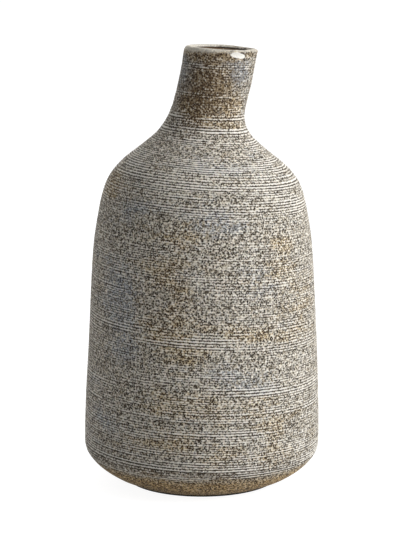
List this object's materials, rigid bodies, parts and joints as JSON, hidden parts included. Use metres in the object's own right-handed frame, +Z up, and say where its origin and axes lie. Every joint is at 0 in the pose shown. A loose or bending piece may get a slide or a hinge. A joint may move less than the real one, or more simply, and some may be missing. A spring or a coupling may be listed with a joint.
{
  "type": "bottle vase",
  "caption": "Tall stoneware bottle vase with a tapering combed body, a sloping shoulder and a short leaning neck, glazed inside to hold water and stems.",
  "frame": {"origin": "on the ground at the middle of the foot, under the middle of the belly", "axes": "+Z up, +X to the right of the picture, the way the neck leans, -Y towards the viewer"},
  "size_m": [0.14, 0.14, 0.2581],
  "materials": {
    "stoneware": "matte, combed and speckled",
    "glaze": "glossy",
    "felt": "pressed felt"
  },
  "bodies": {
    "root": {"felt_pad": "felt", "foot_dish": "stoneware", "belly_wall": "stoneware", "shoulder_dome": "stoneware", "neck": "stoneware", "glaze_lining": "glaze"}
  },
  "joints": []
}
